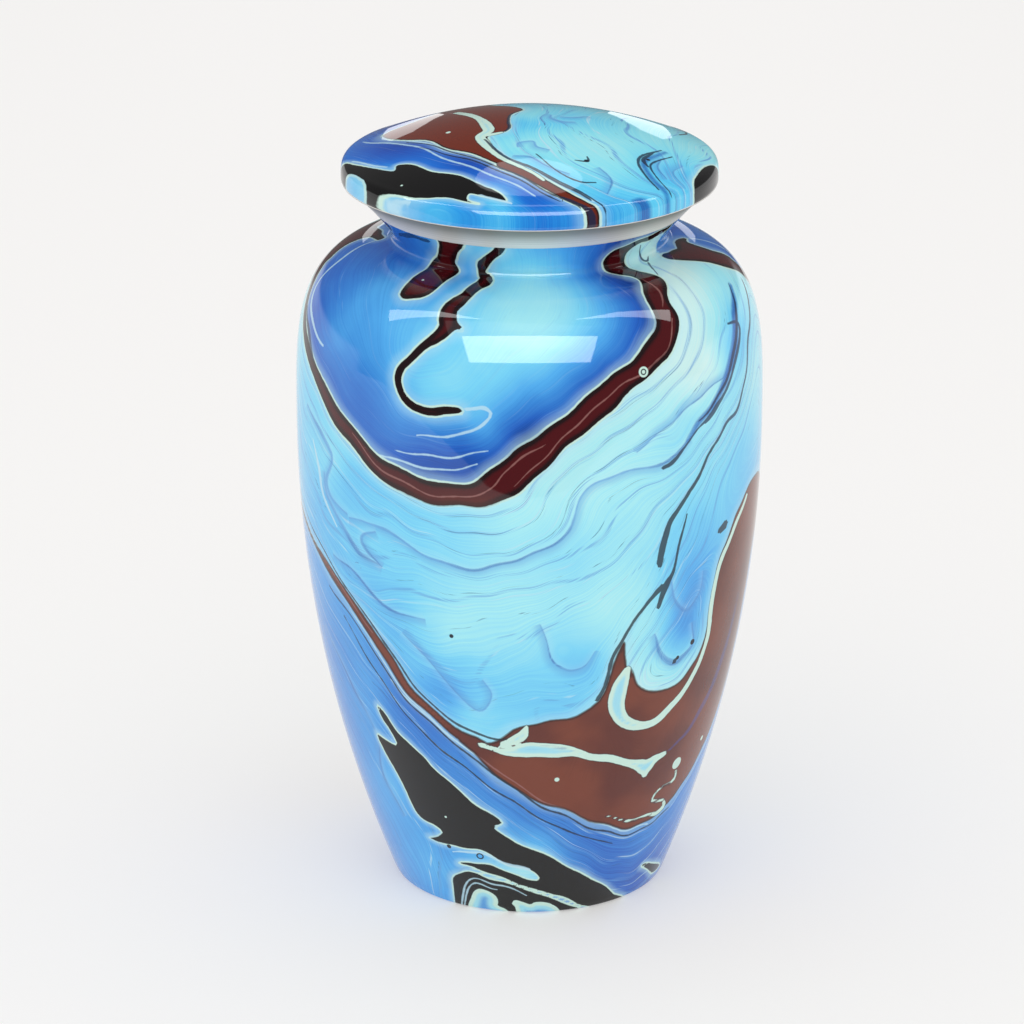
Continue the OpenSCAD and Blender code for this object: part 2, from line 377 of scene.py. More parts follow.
bodyPours = {
    "areas": ("middle", "bowl", "lower"),
    "toneSoftness": 6,
    "flowSoftness": 8,
    "brownPools": [
        [(-34, 262), (-35.5, 255.8), (-38, 252.4), (-41, 249.5), (-44.5, 246.4), (-45.2, 245.2),
         (-43.5, 242), (-43, 237), (-42.6, 232), (-42, 227.4), (-40, 225.9), (-36.5, 226.6), (-33.5, 228.7),
         (-31.5, 232.8), (-31.2, 237), (-30.5, 243), (-30.3, 245), (-31.8, 247), (-30, 250.3), (-28, 253.3),
         (-25.5, 256), (-24, 262)],
        [(75, 238), (76, 240.5), (79, 242), (84, 242.5), (90, 242.3), (92, 240.4), (87, 238.7), (86, 235),
         (87, 230), (91, 223), (89, 220), (84, 222), (82, 225), (80, 228.7), (77, 232), (75.2, 235.3)],
        [(-20, 75), (-12, 74), (-8, 77), (-2, 82), (3, 83), (10, 84), (16, 87), (19, 91), (21, 98),
         (23, 106), (24.5, 111), (25.5, 104), (26, 97), (27, 101), (29, 94), (33, 90.5), (39, 89), (45, 91),
         (50, 97), (52, 104), (53, 115), (54, 128), (58, 138), (64, 147), (72, 152), (80, 150), (90, 143),
         (97, 139), (90, 139), (84, 133), (79, 122), (77, 105), (77, 85), (74, 68), (67, 54), (60, 46),
         (52, 39), (45, 35), (38, 34), (30, 36), (22, 40), (14, 45), (5, 50), (-3, 55), (-10, 62),
         (-16, 70)],
    ],
    "brownRibbons": [
        bowlRim,
        bandRibbon,
        [(-9, 262, 3.5), (-12.5, 255.3, 3.5), (-16.5, 252, 3.8), (-19.5, 248, 3.7), (-19.5, 245.3, 2.5),
         (-17.2, 243.2, 4.5), (-17, 240, 4.8), (-19, 236.2, 4.4), (-20, 232, 3.8), (-21.5, 228.7, 4.6),
         (-23.5, 224.5, 5.3), (-23.2, 221.2, 5.6), (-22.7, 218.7, 5.4), (-24.5, 215.3, 3.8),
         (-27, 212, 2.6), (-30, 208, 2.4), (-33, 203.7, 2.4), (-33.7, 199.5, 2.6), (-32.5, 195.3, 2.6),
         (-30, 192.6, 2.8), (-25, 191.2, 2.8), (-20, 191.4, 2.5), (-17, 192.2, 1.8)],
        [(-22, 219.6, 4), (-18.6, 218.6, 1)],
    ],
    "blackPools": [
        [(-47, 80), (-44, 78), (-40, 72), (-35, 66.5), (-32, 64), (-30, 61.4), (-24.4, 56), (-20, 51.7),
         (-16.3, 48.4), (-12, 44.8), (-9, 41.4), (-9.4, 40.6), (-12, 39.4), (-11, 37.7), (-5.6, 34),
         (0, 30.7), (10, 24.7), (15, 20.7), (20, 17.4), (30, 10.4), (36, 5.4), (42, 1.7), (46, -3),
         (30, -3), (25.6, 1.4), (22.5, 2.7), (17.5, 5.4), (11.2, 8.7), (5, 11.4), (0, 13), (-5, 14.7),
         (-10, 17.4), (-15, 19), (-20, 20), (-26.2, 21.2), (-20, 22.2), (-15, 22.4), (-10, 21),
         (-6.2, 19.4), (-2, 16.7), (0.6, 16), (3.1, 16.2), (3.9, 17.4), (2.5, 19.4), (-1.2, 21.4),
         (-7.5, 24), (-15, 27.7), (-20, 29), (-30, 29), (-37, 29.4), (-32.5, 31.4), (-30.3, 33.4),
         (-32.5, 35.4), (-38, 38.4), (-40, 41.4), (-43, 49.4), (-45, 56), (-48, 63), (-50, 68), (-44, 66),
         (-41.5, 66), (-43, 72), (-46, 76)],
        [(-33, -4), (-33, 1.4), (-31.5, 9.4), (-29.4, 14.7), (-26.2, 16.9), (-20, 17.4), (-12.5, 15.7),
         (-5, 13), (0, 11.4), (6.2, 8.7), (11.2, 6), (17.5, 3), (21, 1.4), (24, -4)],
        [(49, 13.2), (53, 12.8), (60, 10), (68, 5.5), (64, 5), (56, 9), (50, 12)],
    ],
    "mintRibbons": [
        [(26, 101, 2), (24, 94, 5.5), (24, 86, 5.5), (27, 80, 4), (33, 77, 3), (40, 79, 3), (46, 85, 2.5),
         (51, 93, 2), (53, 101, 2), (53.5, 112, 2), (54, 124, 2), (57, 133, 2), (62, 141, 1.8),
         (68, 148, 1.5)],
        [(-14, 73, 1.5), (-9, 72, 2), (-4, 72, 4), (0, 72, 6), (6, 72, 5), (12, 71, 3.5), (18, 68, 2.5),
         (24, 66, 2.5), (30, 63, 3), (34, 61, 4), (37, 59, 5), (40, 61, 3), (44, 63, 1.5)],
        [(-8, 75, 1.5), (-5, 76, 3), (-2, 78, 3.5), (-1, 82, 1)],
        [(37, 60, 3.5), (37, 56.5, 2.5)],
        [(51.8, 52, 0.9), (51.9, 48.7, 0.9), (45, 46.7, 0.9), (43.1, 44, 0.9), (45.6, 42, 0.9),
         (49.4, 40.7, 1.1), (50.3, 38.4, 1.3), (48, 36.6, 1.5), (42.5, 37.3, 1.2), (38, 37, 0.9),
         (33, 38.4, 0.8), (25, 41.7, 0.4)],
    ],
    "mintPools": [
        [(-27, -4), (-26.2, 1.4), (-24.4, 5.4), (-22, 9), (-18.7, 10.5), (-15, 10.2), (-12.8, 8),
         (-12.8, 5.4), (-13.4, 3.7), (-10, 2), (-8, -4)],
        [(-4, -3), (-5.6, 3.4), (-7, 4.7), (-6.2, 6), (-2.5, 6.2), (1.2, 5.6), (2.5, 6.4), (7.5, 5),
         (12.5, 1.7), (15, -3)],
    ],
    "blueRibbons": [
        [(44, 63, 2), (50, 66, 3), (56, 72, 4), (61, 80, 4.5), (65, 90, 4.5), (68, 102, 3.5), (70, 114, 2)],
        [(72.5, 219, 1), (69, 215, 2.5), (65, 210, 3.5), (61, 201, 4), (56, 194, 3.5), (51, 187, 2.5),
         (45, 183, 2), (41, 178, 1.5)],
        [(3, 74, 1.5), (8, 73, 2.5), (14, 70.5, 1.5)],
    ],
    "inkThreads": [
        [(83, 217, 1.2), (77.5, 210, 1.2), (70, 202, 1.2), (65, 190, 1), (60, 181, 1.3), (55, 178, 1.1),
         (50, 172, 1), (46, 166, 1.1), (41, 158, 1.4), (36, 151, 1.8), (34, 144, 2.5), (33, 136, 2.4)],
        [(41, 152, 0.5), (39, 144, 1), (38, 134, 1.2), (35.6, 129, 2.4), (34, 121, 1.4)],
        [(-90, 147, 0.5), (-70, 136, 0.5), (-55, 123, 0.7), (-45, 113, 0.6), (-38, 102, 0.8),
         (-31, 91, 0.7), (-20, 81, 0.8), (-12, 76.5, 0.8), (-6, 77, 0.6)],
        [(-62, 119, 0.4), (-50, 108.5, 0.6), (-42, 97, 0.6), (-34, 85, 0.6), (-24, 75, 0.7), (-12, 64, 0.7),
         (0, 52, 0.8), (12, 43.5, 0.6), (26, 35, 0.6), (40, 31, 0.5), (54, 37, 0.4)],
        [(53, 141, 2.2), (56.5, 143, 3)],
        [(-62, 253, 0.6), (-56, 255.5, 2), (-48, 256.5, 2.5), (-40, 257, 1.5)],
        [(48, 252, 0.4), (52, 247.5, 0.7), (54, 244.8, 1), (57, 245.5, 0.5)],
        [(54, 244, 0.6), (51, 240, 0.5), (48, 236, 0.3)],
        [(72, 220, 0.3), (68, 213, 1.2), (64, 206, 1.7), (60.5, 200, 1.6), (56, 193, 1.3), (50, 186.5, 1.1),
         (44, 182.5, 0.4)],
        [(35, 129, 2.4), (30, 123, 1.2), (25, 114, 1.1), (22, 106, 1.2), (20, 96, 1.2), (18, 90, 1.2)],
        [(-56, 110, 0.3), (-44, 92, 0.5), (-36, 80, 0.5), (-24, 68, 0.6), (-12, 57, 0.6), (0, 46.5, 0.5),
         (14, 37, 0.5), (30, 29, 0.3)],
        [(60, 210, 0.5), (66, 207, 1.2), (62, 199, 1.5), (57, 191.5, 1.3), (52, 185, 1.3), (46, 181, 0.8)],
        [(54, 187, 1.4), (49, 183.5, 1.6), (44, 180, 0.6), (40, 176, 0.9), (36, 171, 1.4),
         (32.5, 170, 0.9)],
        [(41, 99, 1.8), (42, 100, 1.8)],
        [(-80, 209, 0.6), (-72, 201, 1.8), (-66, 195, 0.6)],
    ],
    "blueThreads": [
        [(-50, 148, 0.6), (-40, 148, 1.2), (-32.5, 145.6, 1.2), (-25, 141, 1), (-15, 139, 1.4),
         (-7.5, 141, 1.3), (2.5, 146, 1), (9, 152, 1.3), (10.6, 158, 0.9), (12, 164, 0.7), (15, 168, 0.9),
         (20, 170.5, 1), (28, 171, 1), (35, 172, 1.4), (41, 178, 1.6)],
        [(-60, 160, 0.8), (-59, 152, 1.5), (-52.5, 144, 2.2), (-46, 136, 2), (-39, 134, 0.6)],
        [(-39, 134, 0.5), (-44, 138, 1.6), (-45.6, 142, 1.6), (-40, 146, 0.8)],
        [(-70, 179, 0.5), (-66, 176, 1.4), (-60, 172, 2), (-56, 166, 1.6), (-59, 158, 2), (-57, 152, 1.4),
         (-50, 149, 0.7)],
        [(60, 195, 0.5), (47, 192, 0.8), (35, 184, 0.7), (26, 177, 0.6)],
        [(2, 120, 0.3), (4.5, 113, 0.7), (6, 106, 1), (10, 102.5, 1.1), (14, 104, 0.6), (17, 109, 0.3)],
        [(-12.5, 99, 0.4), (-10, 93, 0.8), (-13, 87, 0.9), (-20, 93, 0.8), (-27, 104, 0.6),
         (-34, 112, 0.3)],
        [(-58, 132, 0.5), (-50, 129, 1.2), (-40, 121, 1.6), (-34, 118, 1), (-27, 119, 0.5)],
        [(33, 112, 0.6), (36, 103, 2.2), (42, 99, 2.6), (47, 103, 1.4), (46, 112, 0.8)],
        [(37, 132, 0.5), (39, 122, 1.4), (43, 117, 1.6), (47, 121, 0.9), (48, 130, 0.4)],
        [(-25, 19, 1.6), (-30, 14, 1), (-33, 8, 0.8)],
        [(-25, 19, 1.6), (-18, 19.8, 2), (-10, 17.8, 2), (-2, 15, 1.5), (5, 11.5, 1), (12, 8, 0.8)],
        [(-70, 100, 0.6), (-58, 84, 1.6), (-50, 66, 1), (-52, 50, 1.6), (-46, 36, 0.8)],
    ],
    "paleThreads": [
        [(-48, 177, 0.4), (-38, 168.5, 0.7), (-28, 164, 0.6), (-16, 163.5, 0.6), (-9, 167, 0.6),
         (-6, 173, 0.6), (0, 180, 0.7), (4, 183, 0.3)],
        [(-4, 168, 0.3), (4, 179, 0.6), (12, 189.5, 0.7), (22, 199, 0.6), (30, 204, 0.7), (37, 210, 0.6),
         (40.5, 219, 0.5)],
        [(39, 222, 0.3), (42.5, 229, 0.8), (40, 237, 0.5), (37, 241, 0.4)],
        [(-16, 193, 0.8), (-11, 194, 1), (-9, 192, 0.8), (-12, 188, 0.9), (-18, 184, 0.6), (-28, 182, 0.3)],
        [(-88, 240, 0.4), (-82, 228, 1.1), (-80, 215, 1), (-72, 206, 1.3), (-62, 202, 0.5)],
        [(-30, 0, 0.5), (-27.5, 7.4, 0.6), (-25.6, 11.4, 0.5), (-23, 14, 0.4), (-18.7, 15.2, 0.4),
         (-12.5, 14, 0.5), (-7, 12, 0.4), (-1, 9.6, 0.2)],
        [(-28.5, 0, 0.3), (-26, 7.4, 0.5), (-23.5, 11.2, 0.3), (-20, 12.9, 0.4), (-12, 11.8, 0.2)],
        [(-44, 174, 0.2), (-32, 172.5, 0.6), (-24, 171.5, 0.5), (-12, 175, 0.2)],
        [(-34, 176, 0.2), (-22, 176, 0.5), (-10, 180, 0.2)],
        [(-66, 168, 0.6), (-63, 160, 1.4), (-61, 151, 1.2), (-55, 142, 0.6)],
        [(-28, 26, 0.4), (-20, 27.3, 0.8), (-10, 25, 0.9), (0, 20.5, 1.2)],
        [(-74, 134.5, 0.4), (-62, 126.5, 0.8), (-52, 117.5, 0.6), (-44, 108.5, 0.5)],
        [(-40, 93, 0.3), (-30, 82, 0.7), (-18, 71.5, 0.6), (-8, 62.5, 0.6), (4, 51.5, 0.7), (18, 42.5, 0.5),
         (32, 34.5, 0.6), (44, 33, 0.4)],
        [(-46, 106, 0.3), (-36, 90, 0.5), (-26, 78.5, 0.4)],
    ],
    "bowlTones": [
        (-55, 205, 0.55), (-62, 220, 0.62), (-60, 240, 0.66), (-45, 215, 0.49), (-48, 232, 0.50),
        (-30, 222, 0.42), (-34, 180, 0.66), (-44, 195, 0.62), (-55, 190, 0.72), (-72, 212, 0.76),
        (-82, 232, 0.70), (-28, 202, 0.34), (-15, 210, 0.22), (0, 225, 0.12), (-5, 205, 0.30),
        (10, 218, 0.24), (0, 240, 0.12), (12, 240, 0.22), (20, 215, 0.50), (28, 225, 0.62), (30, 214, 0.84),
        (15, 200, 0.86), (6, 194, 0.72), (-2, 186, 0.88), (-15, 178, 0.86), (-10, 186, 0.55),
        (-30, 174, 0.80), (-15, 171, 0.84), (25, 240, 0.55), (30, 236, 0.76), (33, 226, 0.80),
        (24, 207, 0.80), (-30, 258, 0.3), (0, 256, 0.36), (-60, 256, 0.75), (30, 256, 0.8),
        (-22, 240, 0.42), (-40, 252, 0.6), (-100, 246, 0.6), (-95, 240, 0.65), (-20, 198, 0.26),
    ],
    "middleTones": [
        (55, 225, 0.00), (50, 200, 0.02), (60, 240, 0.02), (48, 245, 0.06), (20, 185, 0.10),
        (-50, 160, 0.36), (-70, 180, 0.28), (-20, 150, 0.25), (0, 130, 0.15), (20, 130, 0.12),
        (-20, 115, 0.16), (30, 150, 0.16), (50, 160, 0.24), (70, 190, 0.16), (65, 165, 0.30),
        (-5, 155, 0.12), (-38, 128, 0.32), (-65, 150, 0.38), (-35, 110, 0.36), (-22, 92, 0.46),
        (-16, 86, 0.30), (-5, 90, 0.32), (8, 95, 0.32), (16, 102, 0.34), (8, 86, 0.34), (20, 112, 0.20),
        (42, 112, 0.52), (45, 128, 0.50), (46, 145, 0.36), (30, 106, 0.16), (38, 96, 0.14), (48, 100, 0.22),
        (28, 96, 0.08), (35, 118, 0.26), (52, 120, 0.36), (56, 148, 0.32), (-45, 142, 0.30),
        (-55, 165, 0.26), (40, 182, 0.16), (62, 203, 0.34), (84, 214, 0.12), (78, 160, 0.32),
        (80, 200, 0.18), (-4, 112, 0.18), (10, 110, 0.26), (10, 142, 0.20), (-12, 94, 0.34),
        (-30, 100, 0.36),
    ],
    "lowerTones": [
        (-60, 100, 0.55), (-30, 70, 0.64), (-55, 60, 0.52), (-45, 35, 0.46), (-60, 20, 0.55),
        (-38, 20, 0.42), (10, 38, 0.62), (30, 20, 0.72), (50, 15, 0.74), (60, 40, 0.60), (0, 44, 0.60),
        (20, 30, 0.68), (-48, 88, 0.50), (-40, 86, 0.62), (-70, 118, 0.5), (-48, 50, 0.42), (-40, 10, 0.45),
        (-75, 60, 0.6), (45, 25, 0.62), (75, 40, 0.58), (88, 100, 0.6), (85, 70, 0.62), (-20, 60, 0.6),
        (-30, 26, 0.5), (-10, 24, 0.35), (-2, 20, 0.15), (-20, 9, 0.34), (-20, 3, 0.48), (3, 4, 0.55),
    ],
    "middleFlow": [
        (0, [(-80, 196), (-60, 180), (-40, 163), (-20, 156), (-5, 160), (5, 174), (20, 188), (35, 199),
             (44, 208), (47, 222), (48, 238), (46, 256)]),
        (12, [(64, 256), (58, 238), (56, 220), (50, 206), (36, 190), (22, 180), (8, 168), (0, 152),
              (-15, 148), (-35, 154), (-55, 166), (-75, 184)]),
        (20, [(-75, 172), (-60, 158), (-45, 147), (-30, 144), (-15, 139), (-5, 141), (3, 146), (9, 152),
              (11, 160), (16, 168), (26, 173), (37, 173), (44, 180), (52, 187), (60, 196), (66, 208),
              (72, 220)]),
        (31, [(-75, 150), (-60, 140), (-45, 131), (-30, 132), (-15, 130), (0, 134), (12, 140), (22, 150),
              (30, 160), (42, 168), (52, 178), (62, 188), (72, 204), (82, 216)]),
        (41, [(-72, 138), (-55, 122), (-45, 118), (-35, 112), (-25, 108), (-10, 112), (5, 122), (18, 132),
              (27, 142), (33, 152)]),
        (52, [(-50, 117), (-40, 104), (-30, 90), (-20, 82), (-8, 80), (2, 86), (12, 88), (18, 95),
              (22, 106), (28, 118), (34, 128), (40, 145), (50, 165), (62, 178), (75, 198)]),
        (64, [(26, 101), (24, 86), (33, 77), (46, 85), (53, 101), (54, 116), (57, 133), (66, 148),
              (80, 165)]),
        (76, [(38, 106), (43, 100), (47, 108), (46, 118), (43, 110)]),
        (46, [(6, 108), (10, 104), (12, 110), (8, 114)]),
    ],
    "bowlFlow": [
        (0, [(-75, 206), (-60, 194), (-45, 181), (-30, 172), (-15, 172), (-5, 182), (10, 196), (25, 209),
             (32, 218), (33, 228), (28, 240), (30, 256)]),
        (8, [(-80, 222), (-65, 208), (-50, 195), (-38, 184), (-25, 180), (-12, 182), (0, 196), (12, 208),
             (22, 218), (25, 228), (22, 240), (22, 256)]),
        (18, [(-80, 240), (-60, 222), (-48, 208), (-38, 198), (-30, 188), (-18, 187), (-8, 198), (2, 210),
              (12, 222), (14, 236), (13, 256)]),
        (26, [(-60, 245), (-48, 232), (-42, 218), (-38, 205), (-30, 197), (-18, 198), (-10, 210), (-4, 225),
              (0, 240), (0, 256)]),
    ],
    "lowerFlow": [
        (0, [(-80, 136), (-60, 122), (-45, 107), (-30, 84), (-15, 70), (0, 54), (15, 43), (30, 34),
             (45, 33), (60, 43), (70, 56), (78, 75), (84, 100), (92, 125), (100, 136)]),
        (16, [(-80, 118), (-60, 98), (-45, 82), (-30, 66), (-15, 52), (0, 38), (15, 25), (30, 15), (45, 12),
              (60, 22), (72, 40), (82, 62), (90, 90), (100, 118)]),
        (30, [(-80, 98), (-65, 75), (-55, 60), (-48, 45), (-40, 30), (-38, 15), (-40, 0)]),
        (38, [(-80, 70), (-70, 45), (-60, 22), (-52, 5)]),
        (30, [(10, 14), (30, 4), (50, -2)]),
        (24, [(-28, 27), (-12, 25), (0, 20)]),
    ],
    "bowlRegion": [(a, b) for a, b, _ in bowlRim] + [(46, 290), (-30, 300), (-113, 290)],
    "lowerRegion": [(a, b) for a, b, _ in bandRibbon] + [(5, 62), (30, 54), (52, 52), (64, 64), (71, 85),
                    (73, 110), (77, 132), (82, 143), (90, 143), (90.1, -40), (-90, -40)],
    # spots of paint: degrees, millimetres up, radius, kind
    "beads": [(28.5, 203, 1.7, "mint"), (28.5, 203, 1.0, "ink"), (28.5, 203, 0.6, "mint"),
              (51, 55.6, 2.2, "mint"), (8, 60, 0.8, "mint"), (47, 104, 1.0, "ink"), (42, 100, 0.7, "ink"),
              (-17.5, 26, 1.3, "ink"), (-17.5, 26, 0.8, "midFilm"), (-29, 28, 0.8, "ink"),
              (-20, 114, 0.7, "ink"), (-28, 41, 0.4, "mint"), (64, 60, 0.9, "mint"),
              (-39, 236, 0.4, "mint"), (140, 120, 1.4, "mint"), (-150, 150, 0.9, "ink"),
              (-128, 90, 1.6, "mint"), (168, 205, 1.1, "mint")],
}

# on the lid: millimetres to the right and back
lidPours = {
    "areas": ("right", "left"),
    "toneSoftness": 5,
    "flowSoftness": 5,
    "brownPools": [
        [(-30, 62), (-27, 54), (-26, 45), (-30, 30), (-38, 18), (-48, 12), (-46, 1.5), (-41.5, -4),
         (-34, -11), (-28, -20), (-20, -27), (-14, -33), (-9, -36.6), (-7, -35.5), (-12, -28), (-14, -20),
         (-13, -16), (-8, -14), (-6.5, -11), (-7, -5), (-6, 3), (-2, 10), (-6, 18), (-12, 26), (-13, 40),
         (-12, 52), (-4, 62), (-10, 68), (-24, 68)],
    ],
    "brownRibbons": [
        [(-9, -36.6, 3.6), (-1.5, -43.5, 3.8), (6, -49, 3.6), (13.5, -55, 3.2), (20, -58.5, 3),
         (28, -63, 2.6)],
        [(70, -18, 2), (64, -22, 2)],
    ],
    "blackPools": [
        [(-66, -2), (-61, -6), (-56.5, -13.5), (-50, -22), (-44, -28.5), (-43, -25), (-39, -27),
         (-31.5, -35), (-24, -40), (-16.5, -46), (-10, -52), (-8, -56.5), (-14, -53.5), (-19, -51),
         (-20, -54), (-16.5, -56.6), (-26.5, -51.6), (-35, -48.5), (-41.5, -44), (-50, -36.6), (-52, -33.5),
         (-52.7, -30), (-56.5, -22), (-60, -16), (-66, -12)],
        [(66, -5), (60, -9), (56.5, -16), (53.8, -24), (53, -31), (54.5, -35), (60, -30), (66, -22)],
    ],
    "mintRibbons": [
        [(-24, 18, 2), (-20, 10, 2.4), (-17, 2, 2.4), (-14, -6, 3.4), (-13, -12, 3.4), (-16, -16, 3),
         (-15, -22, 3), (-11, -30, 1.8), (-4, -38, 1.2), (4, -46, 0.8)],
        [(-16, -16, 2), (-12, -15.5, 1.6), (-9, -14.5, 0.8)],
    ],
    "blueRibbons": [
        [(-18.5, 7, 1), (-16.5, 0, 1.6), (-14.5, -6, 1.6)],
        [(44, -14, 0.6), (38.5, -22, 1.2), (36.5, -28, 1.4), (38.5, -36, 1.4), (43, -42, 1.2),
         (46, -48, 0.6)],
        [(33, -51, 1), (36, -50, 2.6), (41, -50, 1.4)],
    ],
    "inkThreads": [
        [(-40, -8, 0.3), (-30, -19, 0.6), (-20, -29.5, 0.6), (-8, -40, 0.7), (4, -50.5, 0.6),
         (16, -58.5, 0.6)],
        [(-2, 10, 0.6), (-6, 3, 0.8), (-7, -5, 0.9), (-6.5, -11, 0.9), (-8, -14, 0.7)],
        [(-15, -19, 0.5), (-12, -26, 1), (-6, -34, 0.9), (2, -41.5, 0.8), (10, -48, 0.9), (19, -54.5, 0.8)],
        [(2, -31, 0.4), (8, -40, 0.5), (16, -46, 0.8), (21, -45, 0.5)],
        [(40, -16, 0.5), (36.5, -25, 1.4), (38, -29, 0.7)],
        [(50, 34, 0.5), (52, 24, 0.8), (49, 13, 0.6)],
        [(43, -13, 0.5), (36.5, -21, 0.9), (34.8, -28, 0.9), (36.8, -36, 0.8), (41, -42, 0.5)],
        [(46, -16, 0.4), (40.5, -23, 0.7), (38.6, -28, 0.7), (40.5, -35, 0.6), (45, -42, 0.4)],
        [(-36, -16, 0.2), (-24, -28, 0.6), (-12, -38.5, 0.6), (0, -49, 0.6), (10, -56.5, 0.5)],
        [(-9, -31, 0.3), (0, -39, 0.6), (8, -45.5, 0.7), (16, -51.5, 0.7), (24, -57, 0.4)],
        [(14, -33, 0.4), (18.5, -33, 1.0), (18, -30, 0.4)],
        [(10, -54, 0.5), (20, -58.8, 1.2), (27, -58, 0.8)],
    ],
    "blueThreads": [
        [(7, 4, 0.8), (7, -1, 1.8), (11, -4, 2), (15, -3, 0.8)],
        [(10, 2, 0.6), (14, 2, 1.4), (19, 6, 0.8)],
        [(-4, -26, 0.6), (-4, -23, 1.2), (1, -22, 1), (2, -26, 1.1), (6, -28, 0.6)],
        [(-5, -32, 0.8), (0, -33, 1.2), (5, -38, 0.9), (13, -42, 0.5)],
        [(44, -52, 0.5), (50, -44, 1.2), (54, -40, 0.6)],
        [(42, -20, 0.5), (41, -28, 1), (44, -34, 0.5)],
        [(49, -21, 0.4), (46, -28, 0.8), (50, -35, 0.5)],
        [(22, -36, 0.5), (26, -42, 1), (24, -50, 0.6)],
    ],
    "paleThreads": [
        [(-46, 0, 0.4), (-40, -6, 0.7), (-28, -21.5, 0.7), (-16, -33, 0.6), (-4, -43.5, 0.7), (8, -53, 0.6),
         (18, -59.5, 0.5)],
        [(-58, -8, 0.5), (-51, -18.5, 0.6), (-46, -24, 0.5)],
        [(-55, 12, 0.3), (-50, 2, 0.7), (-38, -13, 0.5), (-24, -32, 0.6), (-10, -44, 0.6), (2, -54, 0.4)],
        [(-11, -26.5, 0.5), (-4, -36, 0.9), (4, -43, 1.1), (12, -49.5, 0.9), (20, -55, 0.5)],
        [(-57, -26, 0.4), (-54, -33, 0.9), (-46, -42, 0.7), (-38, -48, 0.3)],
        [(-16, -52, 0.4), (-12, -55, 0.8), (-6, -58, 0.7)],
        [(-27, 22, 0.5), (-24, 16, 1), (-21, 11, 0.6)],
    ],
    "leftTones": [
        (-56, 5, 0.68), (-50, -8, 0.74), (-30, -27, 0.66), (-15, -42, 0.66), (-45, -45, 0.34),
        (-57, -30, 0.30), (-30, -55, 0.36), (-55, 25, 0.68), (-45, 38, 0.76), (0, -56, 0.62),
        (10, -60, 0.5), (-12, -58, 0.30), (-40, -18, 0.70), (-60, -22, 0.36), (-22, -36, 0.74),
        (-46, 45, 0.7), (-15, -60, 0.46),
    ],
    "rightTones": [
        (0, 0, 0.16), (10, -1, 0.28), (20, -10, 0.13), (30, -30, 0.10), (10, -30, 0.10), (45, -20, 0.22),
        (52, -28, 0.32), (30, 20, 0.14), (50, 10, 0.12), (20, 50, 0.2), (-2, -45, 0.3), (20, -50, 0.26),
        (40, 40, 0.2), (36, -52, 0.3), (24, -56, 0.4), (50, -40, 0.26), (-8, -22, 0.14), (-11, -18, 0.2),
        (6, -18, 0.12), (58, -2, 0.08), (0, 60, 0.3), (-3, -8, 0.3), (42, -30, 0.3),
    ],
    "leftFlow": [
        (0, [(-52, 30), (-48, 10), (-34, -11), (-14, -33), (6, -49), (20, -58.5)]),
        (8, [(-58, 25), (-54, 3), (-40, -17), (-22, -35), (0, -52), (10, -60)]),
        (20, [(-62, 0), (-50, -26), (-30, -44), (-10, -58)]),
        (28, [(-62, -20), (-50, -38), (-34, -50), (-20, -58)]),
        (37, [(-66, -30), (-56, -45), (-40, -56), (-22, -64)]),
    ],
    "rightFlow": [
        (0, [(-24, 40), (-18, 10), (-13, -12), (-8, -28), (4, -42), (20, -53), (28, -56)]),
        (9, [(-5, 30), (0, 12), (-3, 0), (-4, -14), (0, -28), (10, -40), (25, -48), (38, -50)]),
        (20, [(10, 40), (12, 15), (8, 2), (10, -10), (14, -22), (24, -34), (36, -42), (46, -42)]),
        (30, [(30, 45), (28, 20), (24, 5), (26, -12), (34, -20), (38, -30), (42, -38)]),
        (40, [(48, 35), (42, 12), (40, 0), (44, -14), (46, -24), (50, -34)]),
        (50, [(58, 10), (54, -8), (50, -20), (52, -28), (56, -34)]),
        (26, [(9, 0), (12, -2), (15, -1)]),
    ],
    "leftRegion": [(-16, 75), (-20, 30), (-18, 0), (-14, -22), (-9, -36.6), (6, -49), (20, -58.5),
                   (26, -75), (-80, -75), (-80, 75)],
    "beads": [(-26.5, -8, 0.8, "mint"), (18, -33, 0.8, "ink"), (-41, -39, 0.4, "mint"),
              (38, -24, 0.7, "ink"), (14, 46, 0.9, "mint")],
}
print("pours set out")


def pourFilm(film, pours):
    fields = {}
    for kind in ("brown", "black", "mint", "blue"):
        fields[kind + "Edge"] = poolEdge(film, pours.get(kind + "Pools", []), pours.get(kind + "Ribbons", []))
    for kind, reach in (("ink", 2.6), ("blue", 4.2), ("pale", 2.6)):
        for k, family in enumerate(sortThreads(pours[kind + "Threads"], film["around"], 1.85 * reach)):
            fields[f"{kind}Thread{k}"] = threadPull(film, family, reach)
    # the first area lies under the others, and each area's flow lines are numbered well apart
    tone = flow = 0.0
    for k, area in enumerate(pours["areas"]):
        here = regionMask(film, pours[area + "Region"]) if k else True
        tone = np.where(here, spreadOver(film, pours[area + "Tones"], pours["toneSoftness"]), tone)
        drawn = spreadOver(film, flowSpots(pours[area + "Flow"]), pours["flowSoftness"])
        flow = np.where(here, k * flowStep + drawn, flow)
    fields["tone"] = np.clip(tone, 0, 1)
    fields["flow"] = flow
    return fields


def storeFilm(piece, fields, poles):
    # with poles, the outline starts and ends on the axis, and those two rings are one point each
    for name, values in fields.items():
        rows = values.reshape(*values.shape[:2], -1)
        size = rows.shape[2]
        if poles:
            flat = np.vstack([rows[0, :1], rows[1:-1].reshape(-1, size), rows[-1, :1]])
        else:
            flat = rows.reshape(-1, size)
        kind, key = ("FLOAT_VECTOR", "vector") if size == 3 else ("FLOAT", "value")
        layer = piece.data.attributes.new(name, kind, "POINT")
        layer.data.foreach_set(key, flat.astype(np.float32).ravel())


# the vessel

